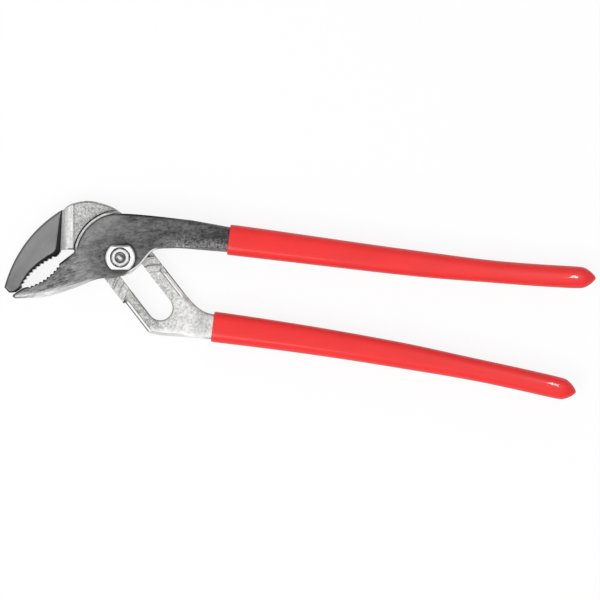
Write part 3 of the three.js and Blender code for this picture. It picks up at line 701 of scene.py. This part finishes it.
def dipped_vinyl(grips):
    """Grips: glossy red vinyl with a faint orange-peel surface, soft mottling and painted shade at the
    edges.
    """
    finish = new_material("dipped vinyl")
    cloud = finish.noise((22, 12, 12), detail=3)
    peel = finish.noise((1.8, 1.8, 1.8))
    grain = finish.noise((0.35, 0.35, 0.35))
    scuff = finish.noise((14, 0.7, 2), turn=-8, detail=4, roughness=0.65).step(0.14, 0.26)
    colour = finish.mix(0.5 + 1.6 * cloud, scaled(grips.red, 0.86), grips.red)
    colour = finish.mix(scuff * 0.1, colour, grips.scuffed)
    # Painted shade on the sides that turn away from the light
    colour = finish.mix(finish.level().step(0.65, 0.15), colour, scaled(grips.red, 0.62))
    return finish.surface({
        "Base Color": colour, "Roughness": 0.44 + 0.2 * cloud + 0.15 * grain + 0.12 * scuff,
        "Specular IOR Level": 0.25, "Coat Weight": 0.25, "Coat Roughness": 0.05,
        "Normal": finish.bump(0.8 * peel + 0.2 * grain, depth=0.03 * MM, strength=0.5)})


class PLIERS_OT_front_arm(Operator):
    """Makes the ground front arm with the lower jaw and the upper handle"""

    bl_idname = "pliers.front_arm"
    bl_label = "Front arm"

    def execute(self, context):
        steel = context.scene.pliers_steel
        piece = even_piece("front_forging", "front_arm", steel)
        dress(piece, "front_arm", ground_steel(steel))
        return {"FINISHED"}


class PLIERS_OT_rear_arm(Operator):
    """Makes the blasted rear arm with the upper jaw, the grooves, the slot and the lower handle"""

    bl_idname = "pliers.rear_arm"
    bl_label = "Rear arm"

    def execute(self, context):
        steel = context.scene.pliers_steel
        piece = even_piece("rear_forging", "rear_arm", steel)
        dress(piece, "rear_arm", blasted_forging(steel))
        return {"FINISHED"}


def crisp_copy(node, width):
    """A node's solid with flat faces joined and its sharp edges rounded, as a bmesh."""
    shape = merged_copy(node)
    bmesh.ops.dissolve_limit(shape, angle_limit=FLAT, verts=shape.verts, edges=shape.edges)
    sharp = [edge for edge in shape.edges if edge.calc_face_angle(0) > SHARP]
    bmesh.ops.bevel(
        shape, geom=sharp, offset=width, offset_type="OFFSET", affect="EDGES", segments=2,
        profile=0.5, material=-1, clamp_overlap=True)
    return shape


class PLIERS_OT_pivot(Operator):
    """Makes the plated bolt and its nut"""

    bl_idname = "pliers.pivot"
    bl_label = "Pivot bolt and nut"

    def execute(self, context):
        steel = context.scene.pliers_steel
        plating = bright_plating(steel)
        for node in ("pivot_bolt", "pivot_nut"):
            piece = new_piece(node.replace("pivot", "plated"), crisp_copy(node, steel.edge_width))
            piece.modifiers.new("even shading", "WEIGHTED_NORMAL")
            dress(piece, node, plating)
        return {"FINISHED"}


def creased_copy(node, hold):
    """A node's solid, mostly in four-sided faces, with creases on its sharp edges, as a bmesh."""
    shape = merged_copy(node)
    bmesh.ops.join_triangles(
        shape, faces=shape.faces, angle_face_threshold=math.pi, angle_shape_threshold=math.pi)
    crease = shape.edges.layers.float.new("crease_edge")
    for edge in shape.edges:
        if edge.calc_face_angle(0) > SHARP:
            edge[crease] = hold
    return shape


class PLIERS_OT_grips(Operator):
    """Makes the two dipped grips"""

    bl_idname = "pliers.grips"
    bl_label = "Dipped grips"

    def execute(self, context):
        grips = context.scene.pliers_grips
        vinyl = dipped_vinyl(grips)
        for node in ("upper_grip", "lower_grip"):
            piece = new_piece(node.replace("grip", "sleeve"), creased_copy(node, grips.lip_hold))
            smooth = piece.modifiers.new("smooth", "SUBSURF")
            smooth.levels = grips.smoothness
            smooth.render_levels = grips.smoothness
            dress(piece, node, vinyl)
        return {"FINISHED"}


def hung_light(name, shape, power, place):
    """An area light of a shape at a place, facing down."""
    lamp = bpy.data.lights.new(name, "AREA")
    lamp.shape = shape
    lamp.energy = power
    holder = added(name, lamp)
    holder.location = place
    return holder


class PLIERS_OT_stage(Operator):
    """Makes the pale floor, the soft light and the camera that looks straight down"""

    bl_idname = "pliers.stage"
    bl_label = "Stage"

    def execute(self, context):
        scene = context.scene
        stage = scene.pliers_stage
        scene.view_settings.view_transform = "Standard"
        scene.camera = self.new_camera(stage)
        self.make_floor()
        scene.world = self.surroundings(stage)
        self.make_lights(stage)
        return {"FINISHED"}

    @staticmethod
    def new_camera(stage):
        """A camera straight above the middle of the view."""
        camera = bpy.data.cameras.new("camera")
        camera.lens = stage.lens
        camera.clip_end = VIEW_END
        holder = added("camera", camera)
        middle = (CAD_BOX[0].z + CAD_BOX[1].z) / 2
        height = stage.view_width * stage.lens / camera.sensor_width
        holder.location = (*stage.view_centre, middle + height)
        return holder

    @staticmethod
    def make_floor():
        """A white floor that keeps the object's shadow and is clear from below."""
        shape = bmesh.new()
        bmesh.ops.create_grid(shape, x_segments=1, y_segments=1, size=FLOOR_HALF)
        mesh = bpy.data.meshes.new("floor")
        shape.to_mesh(mesh)
        shape.free()
        floor = added("floor", mesh)
        finish = new_material("pale floor")
        path = finish.node("ShaderNodeLightPath", output="Is Camera Ray")
        seen = path | path.also("Is Glossy Ray") | path.also("Is Transmission Ray")
        lit = finish.node("ShaderNodeBsdfDiffuse", inputs={"Color": FLOOR_GREY})
        white = finish.node("ShaderNodeEmission", inputs={"Color": WHITE, "Strength": 1.0})
        top = finish.node("ShaderNodeMixShader", inputs={0: seen * FLOOR_GLOW, 1: lit, 2: white})
        clear = finish.node("ShaderNodeBsdfTransparent")
        behind = finish.node("ShaderNodeNewGeometry", output="Backfacing")
        shader = finish.node("ShaderNodeMixShader", inputs={0: behind, 1: top, 2: clear})
        finish.node("ShaderNodeOutputMaterial", inputs={"Surface": shader})
        mesh.materials.append(finish.owner)

    @staticmethod
    def surroundings(stage):
        """A world that is white to the camera and lights the object softly."""
        finish = Finish(bpy.data.worlds.new("studio"))
        path = finish.node("ShaderNodeLightPath", output="Is Camera Ray")
        glow = finish.node(
            "ShaderNodeBackground", inputs={"Color": WHITE, "Strength": stage.world_light})
        white = finish.node("ShaderNodeBackground", inputs={"Color": WHITE, "Strength": 1.0})
        shader = finish.node("ShaderNodeMixShader", inputs={0: path, 1: glow, 2: white})
        finish.node("ShaderNodeOutputWorld", inputs={"Surface": shader})
        return finish.owner

    @staticmethod
    def make_lights(stage):
        """A large soft light, and a strip that only glints on the grips' ends."""
        key = hung_light("key", "DISK", stage.key_power, KEY_PLACE)
        key.data.size = KEY_SIZE
        key.rotation_euler = (KEY_AIM - KEY_PLACE).to_track_quat("-Z", "Y").to_euler()
        glint = hung_light("glint", "RECTANGLE", stage.glint_power, GLINT_PLACE)
        glint.data.size, glint.data.size_y = GLINT_SIZE
        glint.rotation_euler = (0, 0, GLINT_TURN)
        glint.visible_diffuse = False


class PLIERS_PT_panel(Panel):
    """Lists the pieces of the pliers and their settings"""

    bl_idname = "PLIERS_PT_panel"
    bl_label = "Water pump pliers"
    bl_space_type = "VIEW_3D"
    bl_region_type = "UI"
    bl_category = "Pliers"

    def draw(self, context):
        layout = self.layout
        for operator in OPERATORS:
            layout.operator(operator.bl_idname)
        for group in GROUPS:
            box = layout.box()
            settings = getattr(context.scene, group)
            for key in settings.bl_rna.properties.keys():
                if key not in ("rna_type", "name"):
                    box.prop(settings, key)


OPERATORS = (
    PLIERS_OT_stage, PLIERS_OT_front_arm, PLIERS_OT_rear_arm, PLIERS_OT_pivot, PLIERS_OT_grips)
GROUPS = {
    "pliers_steel": SteelSettings, "pliers_grips": GripSettings, "pliers_stage": StageSettings}
CLASSES = (*GROUPS.values(), *OPERATORS, PLIERS_PT_panel)


def register():
    for made in CLASSES:
        bpy.utils.register_class(made)
    for name, group in GROUPS.items():
        setattr(bpy.types.Scene, name, PointerProperty(type=group))


def unregister():
    for name in GROUPS:
        delattr(bpy.types.Scene, name)
    for made in reversed(CLASSES):
        bpy.utils.unregister_class(made)


def main():
    """Builds the pieces in order."""
    register()
    bpy.ops.pliers.stage()
    bpy.ops.pliers.front_arm()
    bpy.ops.pliers.rear_arm()
    bpy.ops.pliers.pivot()
    bpy.ops.pliers.grips()


if __name__ == "__main__":
    main()
